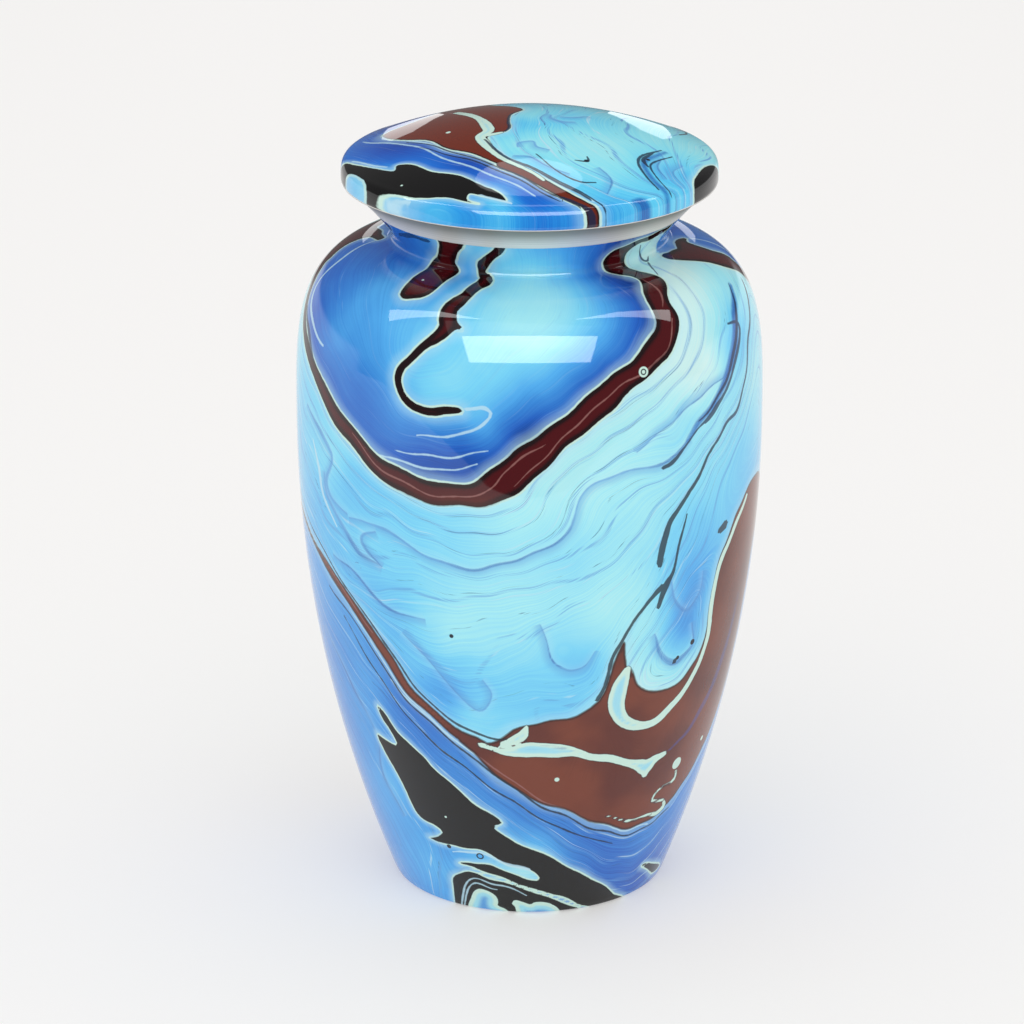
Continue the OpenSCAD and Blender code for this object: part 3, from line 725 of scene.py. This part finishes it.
def flankRadius(z):
    s = vesselShape
    draw = np.clip(1 - z / s["bellyHeight"], 0, None) ** s["flankPower"]
    return s["bellyRadius"] - (s["bellyRadius"] - s["footRadius"]) * draw


def flareRun(low, high, count, inside=0.0):
    # points up the flare's outer side, or up its inner one, which stands the lip's width further in
    s = vesselShape
    z = np.linspace(low, high, count)
    start = s["throatRadius"] if inside else s["neckRadius"]
    end = s["lipRadius"] - inside
    rise = (z - neckHeight) / (s["lipHeight"] - neckHeight)
    return np.column_stack([start + (end - start) * rise ** s["flarePower"], z])


def vesselOutside():
    # from the foot's lower edge, over the belly and the shoulder, up the flare to the lip
    s = vesselShape
    reachIn = (s["neckRadius"] + s["creaseRound"]) / s["bellyRadius"]
    turnIn = 1 - (s["neckRadius"] / s["bellyRadius"]) ** s["shoulderTurn"]
    span = s["shoulderRise"] / turnIn ** (1 / s["shoulderPower"])
    z = np.linspace(s["footRound"], s["bellyHeight"], 200)
    flank = np.column_stack([flankRadius(z), z])
    turn = np.linspace(0, np.arccos(reachIn ** (s["shoulderTurn"] / 2)), 200)[1:]
    shoulder = np.column_stack([s["bellyRadius"] * np.cos(turn) ** (2 / s["shoulderTurn"]),
                                s["bellyHeight"] + span * np.sin(turn) ** (2 / s["shoulderPower"])])
    flare = flareRun(neckHeight + s["creaseRound"], s["lipHeight"], 30)
    foot = softCorner((s["footRadius"] - s["footRound"], 0), (s["footRadius"], 0), flank[0])
    crease = softCorner(shoulder[-1], (s["neckRadius"], neckHeight), flare[0], 16)
    return np.vstack([foot, flank[1:], shoulder, crease[1:], flare[1:]])


def paintedRun():
    # the outside as far as the paint goes
    top = vesselShape["paintTop"]
    outside = vesselOutside()
    return np.vstack([outside[outside[:, 1] < top - 0.2], flareRun(top, top, 1)])


def wanderRound(theta, up, radius):
    # the film runs a little differently round the back, from 86 degrees on and in full by 130
    away = np.clip((np.abs(theta) - 86) / 44, 0, 1)
    away = away * away * (3 - 2 * away)
    rad = np.radians(theta)
    a = theta + away * (9 * np.sin(up / 33 + 0.8) + 5 * np.sin(up / 15 + 2 * rad))
    b = up + away * (9 * np.sin(2 * rad + up / 50) + 4 * np.sin(5 * rad + 1.3 + up / 21))
    # and its edges waver
    a = a + (0.30 * np.sin(up / 2.9 + 7 * rad) + 0.36 * np.sin(up / 5.3 - 17 * rad + 1.0)) * 42 / radius
    b = b + 0.32 * np.sin(31 * rad + up / 4.1) + 0.34 * np.sin(19 * rad - up / 6.7 + 2.0)
    return (a + 90) % 180 - 90, b


def makeBodyLacquer():
    s = vesselShape
    painted = paintedRun()
    length = lengthAlong(painted)
    low, high = s["creaseRun"]
    # rings along the wall, closer together in the hollow of the crease
    below, within = 178, 19
    climb = np.r_[np.linspace(0, low, below), np.linspace(low + 0.6, high, within),
                  np.linspace(high + 1, length[-1], s["paintRings"] - below - within)]
    front = pointsAt(climb, length, painted)
    # the inner side needs few points, but enough of them to follow the hollow of the crease
    backClimb = np.r_[np.linspace(climb[-1], high, 3), np.linspace(high - 1, low - 2, 11),
                      np.linspace(222, 0, 9)]
    back = besideRun(pointsAt(backClimb, climb, front), -s["paintThickness"])
    outline = np.vstack([front, back])
    climb = np.r_[climb, backClimb]
    along = np.r_[np.linspace(0, 0.965, len(front)), np.linspace(0.97, 0.998, len(back))]
    piece = latheMesh("body_lacquer_skin", outline, s["columns"], "strip", along, closed=True)

    theta, up = np.meshgrid(-180 + 360 * np.arange(s["columns"]) / s["columns"], climb)
    radius = np.repeat(outline[:, :1], s["columns"], axis=1)
    a, b = wanderRound(theta, up, radius)
    film = {"a": a, "b": b, "scale": radius * math.pi / 180, "shifts": [-180, 0, 180],
            "around": s["bellyRadius"] / 2}
    fields = pourFilm(film, bodyPours)
    step = np.gradient(climb)[:, None]
    step = np.where(np.abs(step) < 0.2, 1.0, step)
    fields["slope"] = slopeOf(fields["flow"], step, radius * 2 * math.pi / s["columns"])
    storeFilm(piece, fields, poles=False)
    return piece, climb, outline


def makeBodyMetal():
    # the bare vessel: under the paint it stands back a little, and it comes out to full size above it
    s = vesselShape
    outside = vesselOutside()
    under = besideRun(evenRun(paintedRun(), s["paintRings"]), s["paintSetback"])
    under = under[under[:, 1] > 0.4]
    flare = flareRun(s["paintTop"] + 0.03, s["lipHeight"] - 0.35, 10)
    lip = [[flare[-1, 0], s["lipHeight"]], [s["lipRadius"] - s["lipWidth"], s["lipHeight"]]]
    mouth = flareRun(s["lipHeight"], neckHeight, 10, inside=s["lipWidth"])[1:]
    ringRadius = s["throatRadius"] + s["throatRing"]
    floorHeight = s["footRecess"] + s["floor"]
    inner = besideRun(evenRun(outside[outside[:, 1] < neckHeight - 0.5], 90), s["wall"])
    keep = inner[:, 1] > floorHeight + s["floorRound"]
    keep &= (inner[:, 1] < s["bellyHeight"]) | (inner[:, 0] > ringRadius)
    inner = inner[keep][::-1]
    throat = [[s["throatRadius"], neckHeight - s["throatDrop"]], [ringRadius, neckHeight - s["throatDrop"]],
              [ringRadius, inner[0, 1] + 0.1]]
    base = [[0, s["footRecess"]], [s["footRadius"] - s["footRing"] - s["footRecess"], s["footRecess"]],
            [s["footRadius"] - s["footRing"], 0.0], [s["footRadius"] - s["footRound"] - 0.12, 0.0]]
    corner = inner[-1, 0] - 0.9
    bowl = softCorner(inner[-1], (corner, floorHeight), (corner - s["floorRound"], floorHeight))
    outline = np.vstack([base, under, flare, lip, mouth, throat, inner, bowl[1:], [[0, floorHeight]]])
    return latheMesh("bare_metal_vessel", outline, s["metalColumns"], "strip")


# the lid

def domeHeight(r):
    s = lidShape
    rimTop = s["seat"] + s["rimHeight"]
    return rimTop + (s["crown"] - rimTop) * (1 - (np.asarray(r, float) / s["radius"]) ** s["domePower"])


def domeRun(count):
    r = np.linspace(0, lidShape["radius"] - lidShape["rimRound"], count)
    return np.column_stack([r, domeHeight(r)])


def lidOutside():
    s = lidShape
    dome = domeRun(120)
    upper = softCorner(dome[-1], (s["radius"], float(domeHeight(s["radius"] - s["rimRound"] / 2))),
                       (s["radius"], s["seat"] + s["rimHeight"] - s["rimRound"]), 9)
    lower = softCorner((s["radius"], s["seat"] + s["rimLowerRound"]), (s["radius"], s["seat"]),
                       (s["radius"] - s["rimLowerRound"], s["seat"]))
    return np.vstack([dome, upper[1:], lower])


def makeLidLacquer():
    s = lidShape
    front = evenRun(lidOutside(), s["paintRings"])
    back = besideRun(evenRun(lidOutside(), 24)[::-1], s["paintThickness"])
    back[-1, 0] = 0.0
    back[0] = [front[-1, 0] - 0.02, s["seat"] + s["paintThickness"]]
    outline = np.vstack([front, back])
    along = np.r_[np.linspace(0, 0.95, len(front)), np.linspace(0.955, 1.0, len(back))]
    piece = latheMesh("lid_lacquer_skin", outline, s["columns"], "disc", along)

    turn = 2 * math.pi * np.arange(s["columns"]) / s["columns"] - math.pi
    theta, radius = np.meshgrid(turn, outline[:, 0])
    x = radius * np.sin(theta)
    y = -radius * np.cos(theta)
    a = x + 0.25 * np.sin(y / 3.1 + x / 9) + 0.22 * np.sin(y / 5.7 - x / 4.3)
    b = y + 0.25 * np.sin(x / 3.3 - y / 8) + 0.22 * np.sin(x / 6.1 + y / 4.7)
    fields = pourFilm({"a": a, "b": b, "scale": np.ones(a.shape), "shifts": [0], "around": 0}, lidPours)
    step = np.gradient(lengthAlong(outline))[:, None]
    fields["slope"] = slopeOf(fields["flow"], step, np.maximum(radius, 1) * 2 * math.pi / s["columns"])
    storeFilm(piece, fields, poles=True)
    return piece


def makeLidMetal():
    s = lidShape
    top = besideRun(evenRun(lidOutside(), 70), -s["paintSetback"])
    top[0, 0] = 0.0
    top = top[top[:, 1] > s["seat"] + 0.3]
    rimInner = s["radius"] - s["rimWidth"]
    plugIn = s["plugRadius"] - s["plugWall"]
    ceiling = besideRun(domeRun(40), -s["thickness"])[::-1]
    gutter = ceiling[(ceiling[:, 0] > s["plugRadius"] + 0.2) & (ceiling[:, 0] < rimInner - 0.2)]
    middle = ceiling[(ceiling[:, 0] < plugIn - 0.2) & (ceiling[:, 0] > 0.2)]
    rim = [[top[-1, 0], s["seat"]], [rimInner, s["seat"]], [rimInner, gutter[0, 1]]]
    plug = [[s["plugRadius"], gutter[-1, 1]], [s["plugRadius"], s["plugBottom"]],
            [plugIn, s["plugBottom"]], [plugIn, middle[0, 1]]]
    outline = np.vstack([top, rim, gutter, plug, middle, [[0, s["crown"] - s["thickness"]]]])
    return latheMesh("bare_metal_lid", outline, s["metalColumns"], "disc")


bodySkin, bodyClimb, bodyOutline = makeBodyLacquer()
print("body lacquer made:", len(bodySkin.data.polygons), "faces")
bodyMetal = makeBodyMetal()
lidSkin = makeLidLacquer()
print("lid lacquer made:", len(lidSkin.data.polygons), "faces")
lidMetal = makeLidMetal()
print("bare metal made")


# finishes

def paint(red, green, blue):
    # a colour as listed, 0 to 255
    def straight(c):
        c = c / 255
        return c / 12.92 if c <= 0.04045 else ((c + 0.055) / 1.055) ** 2.4
    return (straight(red), straight(green), straight(blue), 1.0)


def bench(tree):
    # short ways to lay nodes in a material's tree or the world's
    def put(kind, wires, **settings):
        node = tree.nodes.new(kind)
        for key, value in settings.items():
            setattr(node, key, value)
        for key, value in wires.items():
            if isinstance(value, bpy.types.NodeSocket):
                tree.links.new(value, node.inputs[key])
            else:
                node.inputs[key].default_value = value
        return node

    def sums(how, *values):
        return put("ShaderNodeMath", dict(enumerate(values)), operation=how).outputs[0]

    def times(first, second):
        return sums("MULTIPLY", first, second)

    def fade(value, start, end, low=1.0, high=0.0):
        wires = {"Value": value, "From Min": start, "From Max": end, "To Min": low, "To Max": high}
        return put("ShaderNodeMapRange", wires, interpolation_type="SMOOTHSTEP").outputs["Result"]

    def mix(amount, under, over):
        return put("ShaderNodeMix", {0: amount, 6: under, 7: over}, data_type="RGBA").outputs[2]

    def grain(place, scale, detail=2.0, rough=0.5, across=None):
        wires = {"Vector": place, "Scale": scale, "Detail": detail, "Roughness": rough}
        if across is None:
            return put("ShaderNodeTexNoise", wires, noise_dimensions="3D").outputs["Fac"]
        return put("ShaderNodeTexNoise", {**wires, "W": across}, noise_dimensions="4D").outputs["Fac"]

    return put, sums, times, fade, mix, grain


def blankMaterial(name):
    material = bpy.data.materials.new(name)
    material.use_nodes = True
    material.node_tree.nodes.clear()
    return material


bodyFinish = {
    "film": [(0.0, (210, 245, 243)), (0.12, (168, 238, 247)), (0.28, (122, 215, 250)), (0.45, (84, 176, 242)),
             (0.60, (58, 138, 220)), (0.78, (36, 98, 196)), (0.92, (22, 66, 150)), (1.0, (15, 44, 104))],
    "brownLow": (98, 42, 32),
    "brownHigh": (78, 14, 20),
    "brownTurn": (0.125, 0.150),       # metres up, where one brown gives way to the other
    "brownVein": (152, 104, 100),
    "brownRust": (128, 62, 40),
    "brownDust": (30, 8, 10),
    "brownDark": (18, 12, 16),
    "brownLine": (40, 20, 20),
    "brownRim": (70, 72, 60),
    "brownEdge": (-2.4, -0.7),         # millimetres inside the brown where its dark edge fades in and is full
    "black": (14, 13, 14),
    "mint": (204, 236, 224),
    "halo": (190, 232, 244),
    "ink": (22, 32, 46),
    "inkHigh": (26, 50, 86),           # the same threads where they run over the shoulder
    "deepBlue": (32, 84, 170),
    "threadLight": (98, 160, 222),
    "threadDark": (58, 108, 182),
    "threadInk": (40, 78, 128),
    "paleBlue": (190, 228, 244),
    "streaks": 0.30,
    "hairs": 0.62,
    # hair lines: millimetres apart, how far they wander, patch scale, gate, millimetres wide, colour
    "hairSets": [(9.1, 1.5, 24, 0.46, (0.20, 1.10), "threadLight"),
                 (7.3, 1.2, 21, 0.52, (0.15, 0.70), "paleBlue"),
                 (8.3, 1.3, 34, 0.54, (0.08, 0.36), "threadInk")],
    "roughness": 0.5,
    "coatRoughness": 0.03,
    "coatIndex": 1.5,
    "orangePeel": 0.02,
}
lidFinish = dict(bodyFinish)
lidFinish.update({
    "film": [(0.0, (180, 238, 240)), (0.12, (140, 230, 246)), (0.28, (96, 208, 248)), (0.45, (48, 160, 234)),
             (0.60, (20, 112, 214)), (0.78, (12, 80, 186)), (0.92, (8, 50, 138)), (1.0, (6, 32, 88))],
    "brownLow": (112, 40, 20),
    "brownHigh": (112, 38, 18),
    "brownEdge": (-0.6, -0.1),
    "inkHigh": (24, 38, 66),
    "streaks": 0.44,
    "hairs": 0.85,
})


def pouredLacquer(name, finish, beads, placeBead):
    film = finish["film"]
    finish = dict(finish, paleFilm=film[2][1], midFilm=film[3][1], fullFilm=film[4][1])
    material = blankMaterial(name)
    put, sums, times, fade, mixRaw, grain = bench(material.node_tree)
    here = put("ShaderNodeTexCoord", {}).outputs["Object"]

    def field(name, kind="Fac"):
        return put("ShaderNodeAttribute", {}, attribute_name=name).outputs[kind]

    def mix(amount, under, over):
        # the two colours may be named from the finish
        picked = [paint(*finish[c]) if isinstance(c, str) else c for c in (under, over)]
        return mixRaw(amount, *picked)

    tone = field("tone")
    flow = field("flow")
    slope = field("slope")
    height = put("ShaderNodeSeparateXYZ", {0: here}).outputs["Z"]
    inBowl = times(fade(flow, 104, 116, 0.0, 1.0), fade(flow, 205, 215))
    upHigh = fade(height, 0.150, 0.162, 0.0, 1.0)
    downLow = sums("SUBTRACT", 1.0, upHigh)

    # streaks lie along the flow: they change quickly across it and slowly along it
    broad = grain(here, 14, 2, 0.5, times(flow, 0.32))
    fine = grain(here, 30, 3, 0.6, times(flow, 0.95))
    drift = grain(here, 30, 3, 0.5)
    curl = grain(here, 34, 1, 0.5)
    ripple = grain(here, 420, 2, 0.5)
    streak = sums("ADD", times(sums("SUBTRACT", broad, 0.5), 1.3),
                  times(sums("SUBTRACT", fine, 0.5), fade(inBowl, 0.0, 1.0, 0.7, 0.05)))
    swing = sums("MULTIPLY_ADD", tone, finish["streaks"], 0.10)
    swing = times(swing, fade(inBowl, 0.0, 1.0, 1.0, 0.45))
    swing = times(swing, fade(slope, 0.15, 0.50, 0.35, 1.0))
    shade = sums("MULTIPLY_ADD", streak, swing, tone)
    shade = sums("MULTIPLY_ADD", sums("SUBTRACT", drift, 0.5), fade(inBowl, 0.0, 1.0, 0.14, 0.30), shade)
    ramp = put("ShaderNodeValToRGB", {"Fac": shade})
    stops = ramp.color_ramp.elements
    while len(stops) < len(film):
        stops.new(0.5)
    for stop, (at, colour) in zip(stops, film):
        stop.position = at
        stop.color = paint(*colour)
    skin = ramp.outputs["Color"]

    # hair lines where the film was drawn out, wandering and broken, and next to none in the deep blue
    calm = times(sums("SUBTRACT", 1.0, times(inBowl, 0.85)), finish["hairs"])
    calm = times(calm, fade(slope, 0.20, 0.55, 0.0, 1.0))
    for spacing, wander, patch, gate, widths, colour in finish["hairSets"]:
        strand = sums("MULTIPLY_ADD", curl, wander, sums("DIVIDE", flow, spacing))
        line = sums("ABSOLUTE", sums("SUBTRACT", sums("FRACT", strand), 0.5))
        line = sums("DIVIDE", times(line, spacing), slope)
        shown = fade(grain(here, patch, 2, 0.5, times(flow, 0.15)), gate, gate + 0.08, 0.0, 1.0)
        skin = mix(times(times(fade(line, *widths), shown), calm), skin, colour)

    waver = times(sums("SUBTRACT", ripple, 0.5), 0.4)

    def thread(kind, k):
        # how far outside the line, which side of it, and its half width
        parts = put("ShaderNodeSeparateXYZ", {0: field(f"{kind}Thread{k}", "Vector")}).outputs
        line = sums("ADD", sums("SUBTRACT", sums("ABSOLUTE", parts["X"]), parts["Y"]), waver)
        return line, parts["X"], parts["Y"]

    def nearest(kind):
        found = thread(kind, 0)[0]
        for k in range(1, threadFamilies):
            found = sums("MINIMUM", found, thread(kind, k)[0])
        return found

    brown, black, mint, blue = [sums("ADD", field(kind + "Edge"), waver)
                                for kind in ("brown", "black", "mint", "blue")]
    ink = nearest("ink")
    pale = nearest("pale")

    # a blue thread is dark along one side and pales away on the other
    for k in range(threadFamilies):
        line, side, half = thread("blue", k)
        drawn = fade(half, -0.3, 0.25, 0.0, 1.0)
        shadow = times(fade(side, 0.0, 3.7, 0.50, 0.0), fade(side, -0.6, 0.0, 0.0, 1.0))
        skin = mix(times(shadow, drawn), skin, "threadLight")
        shine = times(fade(side, -3.2, -0.4, 0.0, 0.14), fade(side, -0.3, 0.1))
        skin = mix(times(shine, drawn), skin, "paleBlue")
        core = mix(fade(drift, 0.4, 0.6, 0.0, 1.0), "threadLight", "threadDark")
        skin = mix(times(fade(line, -0.5, 0.15), fade(fine, 0.35, 0.65, 0.25, 0.9)), skin, core)
    blues = mix(fade(fine, 0.40, 0.70, 0.0, 1.0), "deepBlue", "midFilm")
    skin = mix(fade(blue, -0.6, 1.2, 0.9, 0.0), skin, blues)

    # the film pales round the dark pools, and the black ones have a mint rim
    skin = mix(fade(brown, 0.4, 4.5, 0.35, 0.0), skin, "halo")
    skin = mix(fade(black, 0.4, 3.0, 0.45, 0.0), skin, "halo")
    rim = times(fade(black, 0.4, 0.85), fade(grain(here, 60, 2), 0.3, 0.5, 0.55, 1.0))
    skin = mix(rim, skin, "mint")
    skin = mix(fade(black, -0.12, 0.16), skin, "black")
    skin = mix(fade(pale, -0.15, 0.30, 0.80, 0.0), skin, "paleBlue")

    # the brown: a mint rim above and a dull one below, rust and dust in it, veins, and a dark edge
    rim = times(fade(brown, 0.5, 0.95), fade(grain(here, 55, 2), 0.3, 0.5, 0.35, 0.95))
    skin = mix(times(rim, upHigh), skin, "mint")
    skin = mix(times(fade(brown, 0.15, 0.55, 0.75, 0.0), downLow), skin, "brownRim")
    clay = mix(fade(height, *finish["brownTurn"], 0.0, 1.0), "brownLow", "brownHigh")
    clay = mix(times(fade(drift, 0.36, 0.60, 0.0, 0.75), downLow), clay, "brownRust")
    clay = mix(fade(fine, 0.45, 0.7, 0.0, 0.30), clay, mix(0.5, clay, "brownDust"))
    clay = mix(fade(sums("ADD", pale, 0.12), -0.1, 0.22, 0.75, 0.0), clay, "brownVein")
    clay = mix(times(fade(brown, *finish["brownEdge"], 0.0, 0.96), upHigh), clay, "brownDark")
    clay = mix(fade(brown, -0.9, -0.3, 0.0, 0.7), clay, "brownLine")
    skin = mix(fade(brown, -0.12, 0.16), skin, clay)

    # mint pools turn blue towards the middle and have an ink line round them
    mintFill = mix(fade(mint, -2.0, -0.9, 0.6, 0.0), "mint", "paleFilm")
    mintFill = mix(fade(mint, -4.5, -2.2, 0.8, 0.0), mintFill, "fullFilm")
    skin = mix(fade(mint, 0.3, 0.55, 0.6, 0.0), skin, "ink")
    skin = mix(fade(mint, -0.05, 0.25), skin, mintFill)
    skin = mix(fade(blue, -1.0, -0.4, 0.7, 0.0), skin, mix(0.5, skin, "deepBlue"))
    inks = mix(fade(height, 0.160, 0.175, 0.0, 1.0), "ink", "inkHigh")
    skin = mix(fade(ink, -0.15, 0.22, 0.9, 0.0), skin, inks)
    for a, b, radius, colour in beads:
        gap = put("ShaderNodeVectorMath", {0: here, 1: placeBead(a, b)}, operation="DISTANCE")
        skin = mix(fade(gap.outputs["Value"], (radius - 0.12) * mm, (radius + 0.16) * mm), skin, colour)

    peel = put("ShaderNodeBump", {"Strength": finish["orangePeel"], "Distance": 0.0004,
                                  "Height": grain(here, 190, 1, 0.4)}).outputs["Normal"]
    shader = put("ShaderNodeBsdfPrincipled", {
        "Base Color": skin,
        "Roughness": finish["roughness"],
        "Specular IOR Level": 0.0,
        "Coat Weight": 1.0,
        "Coat Roughness": finish["coatRoughness"],
        "Coat IOR": finish["coatIndex"],
        "Normal": peel,
    })
    put("ShaderNodeOutputMaterial", {"Surface": shader.outputs[0]})
    return material


def beadOnBody(a, b):
    rings = vesselShape["paintRings"]
    r, z = pointsAt([b], bodyClimb[:rings], bodyOutline[:rings])[0]
    turn = math.radians(a)
    return (r * math.sin(turn) * mm, -r * math.cos(turn) * mm, z * mm)


def beadOnLid(a, b):
    return (a * mm, b * mm, float(domeHeight(math.hypot(a, b))) * mm)


metalFinish = {
    "colour": (242, 238, 232),
    "roughness": 0.50,
    "metallic": 0.3,
    "paintedShadeUnderLid": (112, 114, 108),                 # painted shade where the lid overhangs
    "paintedShadeUnderLidFrom": (0.2350, 0.2420),            # metres up, where that starts and is full
    "seat": (0.2429, 0.2431),                    # and where the lid rests
    "turning": 0.06,
}


def turnedMetal(name, finish):
    material = blankMaterial(name)
    put, sums, times, fade, mix, grain = bench(material.node_tree)
    here = put("ShaderNodeTexCoord", {}).outputs["Object"]
    parts = put("ShaderNodeSeparateXYZ", {0: here}).outputs
    reach = sums("SQRT", sums("ADD", times(parts["X"], parts["X"]), times(parts["Y"], parts["Y"])))
    ring = put("ShaderNodeCombineXYZ", {"X": reach, "Y": parts["Z"], "Z": 0.0}).outputs[0]
    grooves = grain(ring, 1500, 2, 0.6)
    dull = paint(*[c * 0.94 for c in finish["colour"]])
    colour = mix(fade(grooves, 0.3, 0.7, 0.0, 1.0), dull, paint(*finish["colour"]))
    # painted shade: the bare metal darkens up the flare towards where the lid rests, under its overhang
    inShade = times(fade(parts["Z"], *finish["paintedShadeUnderLidFrom"], 0.0, 0.85), fade(parts["Z"], *finish["seat"]))
    colour = mix(inShade, colour, paint(*finish["paintedShadeUnderLid"]))
    rough = sums("MULTIPLY_ADD", grain(here, 40, 3), 0.12, finish["roughness"] - 0.06)
    bump = put("ShaderNodeBump", {"Strength": finish["turning"], "Distance": 0.0003, "Height": grooves})
    shader = put("ShaderNodeBsdfPrincipled", {
        "Base Color": colour,
        "Metallic": finish["metallic"],
        "Roughness": rough,
        "Normal": bump.outputs["Normal"],
    })
    put("ShaderNodeOutputMaterial", {"Surface": shader.outputs[0]})
    return material


bareMetal = turnedMetal("bare_turned_metal", metalFinish)
bodyLacquer = pouredLacquer("poured_lacquer_body", bodyFinish, bodyPours["beads"], beadOnBody)
bodySkin.data.materials.append(bodyLacquer)
lidLacquer = pouredLacquer("poured_lacquer_lid", lidFinish, lidPours["beads"], beadOnLid)
lidSkin.data.materials.append(lidLacquer)
bodyMetal.data.materials.append(bareMetal)
lidMetal.data.materials.append(bareMetal)
print("finishes mixed")

for piece, slot, node in ((bodySkin, "body_lacquer", "urn_body"), (bodyMetal, "bare_metal", "urn_body"),
                          (lidSkin, "lid_lacquer", "urn_lid"), (lidMetal, "bare_metal", "urn_lid")):
    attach(piece, "root")
    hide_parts(node)

# the studio
studio = {
    "floorWidth": 3.6,
    "floorFront": 0.5,         # how far it comes forward of the urn, and goes back behind it
    "floorBack": 1.3,
    "floorColour": (206, 204, 202),
    "floorGlow": 0.33,
    "sky": 0.92,
    "gloomInGloss": 0.18,      # how dark the room looks in the lacquer, but for the windows low at the sides
    "windowsInGloss": 0.9,
    "frontSoftbox": 7.0,
    "keySoftbox": 0.6,
    "sideCards": 5.0,
    "backCards": 1.3,
    "topCard": 1.7,
    "cameraBack": 1.5202,
    "cameraSide": -0.0058,
    "cameraHeight": 0.6804,
    "cameraPitch": 20.022,
    "lens": 169.53,
}


def makeFloor():
    half = studio["floorWidth"] / 2
    front = -studio["floorFront"]
    back = studio["floorBack"]
    floor = addMesh("studio_floor", [(-half, front, 0), (half, front, 0), (half, back, 0), (-half, back, 0)],
                    [(0, 1, 2, 3)])
    material = blankMaterial("pale_floor")
    put = bench(material.node_tree)[0]
    shader = put("ShaderNodeBsdfPrincipled", {"Base Color": paint(*studio["floorColour"]), "Roughness": 0.7,
                                              "Specular IOR Level": 0.2, "Emission Color": (1, 1, 1, 1),
                                              "Emission Strength": studio["floorGlow"]})
    put("ShaderNodeOutputMaterial", {"Surface": shader.outputs[0]})
    floor.data.materials.append(material)


def towards(bearing, height):
    # bearing is 0 in front of the urn and turns to its right side; height is the angle above level
    a = math.radians(bearing)
    h = math.radians(height)
    return Vector((math.sin(a) * math.cos(h), -math.cos(a) * math.cos(h), math.sin(h)))


def softPanel(name, bearing, height, distance, size, strength, glossOnly, aim=(0, 0, 0.2)):
    light = bpy.data.lights.new(name, "AREA")
    light.shape = "RECTANGLE"
    light.size, light.size_y = size
    light.energy = strength * size[0] * size[1] * math.pi      # strength is how bright the panel looks
    lamp = bpy.data.objects.new(name, light)
    away = towards(bearing, height)
    lamp.location = Vector(aim) + away * distance
    lamp.rotation_euler = away.to_track_quat("Z", "Y").to_euler()
    lamp.visible_camera = False
    lamp.visible_diffuse = not glossOnly
    scene.collection.objects.link(lamp)


def glowCard(name, corners, distance, strength, aim):
    # a flat lit card seen only in the gloss; its corners are given as bearings and heights
    card = addMesh(name, [Vector(aim) + towards(*corner) * distance for corner in corners],
                   [tuple(range(len(corners)))])
    material = blankMaterial(name)
    put = bench(material.node_tree)[0]
    glow = put("ShaderNodeEmission", {"Color": (1, 1, 1, 1), "Strength": strength})
    put("ShaderNodeOutputMaterial", {"Surface": glow.outputs[0]})
    card.data.materials.append(material)
    card.visible_camera = False
    card.visible_diffuse = False
    card.visible_shadow = False


def makeRoom():
    # the room lights the urn evenly; in the gloss it is dim but for the windows low at the sides
    world = bpy.data.worlds.new("pale_room")
    world.use_nodes = True
    put, sums, times, fade, mix, grain = bench(world.node_tree)
    way = put("ShaderNodeSeparateXYZ", {0: put("ShaderNodeTexCoord", {}).outputs["Generated"]}).outputs
    low = fade(way["Z"], 0.0, 0.10)
    sides = times(fade(way["Y"], -0.05, 0.12, 0.0, 1.0), fade(way["Y"], 0.90, 0.97))
    inGloss = fade(times(low, sides), 0.0, 1.0, studio["gloomInGloss"], studio["windowsInGloss"])
    glossy = put("ShaderNodeLightPath", {}).outputs["Is Glossy Ray"]
    bright = put("ShaderNodeMix", {0: glossy, 2: studio["sky"], 3: inGloss}, data_type="FLOAT").outputs[0]
    back = world.node_tree.nodes["Background"]
    back.inputs["Color"].default_value = (1, 1, 1, 1)
    world.node_tree.links.new(bright, back.inputs["Strength"])
    scene.world = world


def makeLights():
    softPanel("front_softbox", 0, 37.5, 1.5, (1.77, 0.88), studio["frontSoftbox"], True, (0, -0.07, 0.207))
    softPanel("key_softbox", -10, 55, 2.2, (2.4, 1.4), studio["keySoftbox"], False)
    for side in (-1, 1):
        wedge = [(side * a, h) for a, h in ((90, 33.3), (104, 42), (98, 63), (57, 72), (83, 59))]
        glowCard(f"side_card_{side}", wedge, 1.5, studio["sideCards"], (0, -0.058, 0.214))
        crescent = [(180 - side * a, h) for a, h in ((12.6, 12.7), (11.6, 8), (6.6, -4.8), (3.4, -8.5),
                                                     (4.5, -2), (7.6, 6), (10.1, 10.9))]
        glowCard(f"back_card_{side}", crescent, 1.6, studio["backCards"], (0, 0, 0.256))
    oval = [(180 + 14 * math.cos(t), 51.5 + 7.5 * math.sin(t)) for t in np.linspace(0, 2 * math.pi, 25)[:-1]]
    glowCard("top_card", oval, 1.5, studio["topCard"], (0, -0.04, 0.256))


def makeCamera():
    data = bpy.data.cameras.new("camera")
    data.lens = studio["lens"]
    data.sensor_width = 36
    camera = bpy.data.objects.new("camera", data)
    camera.location = (studio["cameraSide"], -studio["cameraBack"], studio["cameraHeight"])
    camera.rotation_euler = (math.radians(90 - studio["cameraPitch"]), 0, 0)
    scene.collection.objects.link(camera)
    scene.camera = camera


makeFloor()
makeRoom()
makeLights()
makeCamera()
scene.view_settings.view_transform = "Standard"
print("studio set up")
